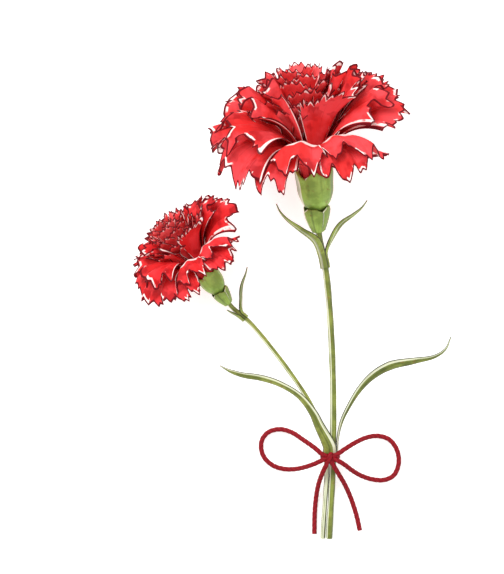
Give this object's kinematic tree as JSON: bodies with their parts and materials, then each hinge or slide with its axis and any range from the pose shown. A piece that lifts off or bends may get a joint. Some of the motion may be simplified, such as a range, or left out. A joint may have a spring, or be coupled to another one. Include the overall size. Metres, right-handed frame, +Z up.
{
  "type": "bunch of cut carnations tied with cord",
  "caption": "A large and a smaller cut carnation with ruffled red petals on slim green stems, tied together with a thin cord in a bow and laid down flat.",
  "frame": {"origin": "centre of the bunch's box, at the surface that it lies on", "axes": "+Y up the stems towards the flowers, +Z up from the surface, +X to the right seen from above with the flowers away from the viewer"},
  "size_m": [0.127, 0.1918, 0.0654],
  "materials": {
    "petal": "matte",
    "calyx": "satin",
    "leaf": "satin",
    "stem": "satin",
    "cord": "matte"
  },
  "bodies": {
    "root": {"bow_knot": "cord", "bow_loop_left": "cord", "bow_loop_right": "cord", "bow_tail_left": "cord", "bow_tail_right": "cord", "large_bract_1": "calyx", "large_bract_2": "calyx", "large_bract_3": "calyx", "large_bract_4": "calyx", "large_calyx": "calyx", "large_petal_1_1": "petal", "large_petal_1_2": "petal", "large_petal_1_3": "petal", "large_petal_1_4": "petal", "large_petal_1_5": "petal", "large_petal_1_6": "petal", "large_petal_1_7": "petal", "large_petal_1_8": "petal", "large_petal_2_1": "petal", "large_petal_2_2": "petal", "large_petal_2_3": "petal", "large_petal_2_4": "petal", "large_petal_2_5": "petal", "large_petal_3_1": "petal", "large_petal_3_2": "petal", "large_petal_3_3": "petal", "large_petal_3_4": "petal", "large_petal_4_1": "petal", "large_petal_4_2": "petal", "large_petal_4_3": "petal", "large_petal_4_4": "petal", "large_petal_5_1": "petal", "large_stem": "stem", "large_upper_leaf_left": "leaf", "large_upper_leaf_right": "leaf", "left_lower_leaf": "leaf", "right_lower_leaf": "leaf", "small_bract_1": "calyx", "small_bract_2": "calyx", "small_bract_3": "calyx", "small_bract_4": "calyx", "small_calyx": "calyx", "small_petal_1_1": "petal", "small_petal_1_2": "petal", "small_petal_1_3": "petal", "small_petal_1_4": "petal", "small_petal_1_5": "petal", "small_petal_1_6": "petal", "small_petal_2_1": "petal", "small_petal_2_2": "petal", "small_petal_2_3": "petal", "small_petal_2_4": "petal", "small_petal_3_1": "petal", "small_petal_3_2": "petal", "small_petal_3_3": "petal", "small_petal_4_1": "petal", "small_stem": "stem", "small_upper_leaf_left": "leaf", "small_upper_leaf_right": "leaf", "tie_wrap": "cord"}
  },
  "joints": []
}
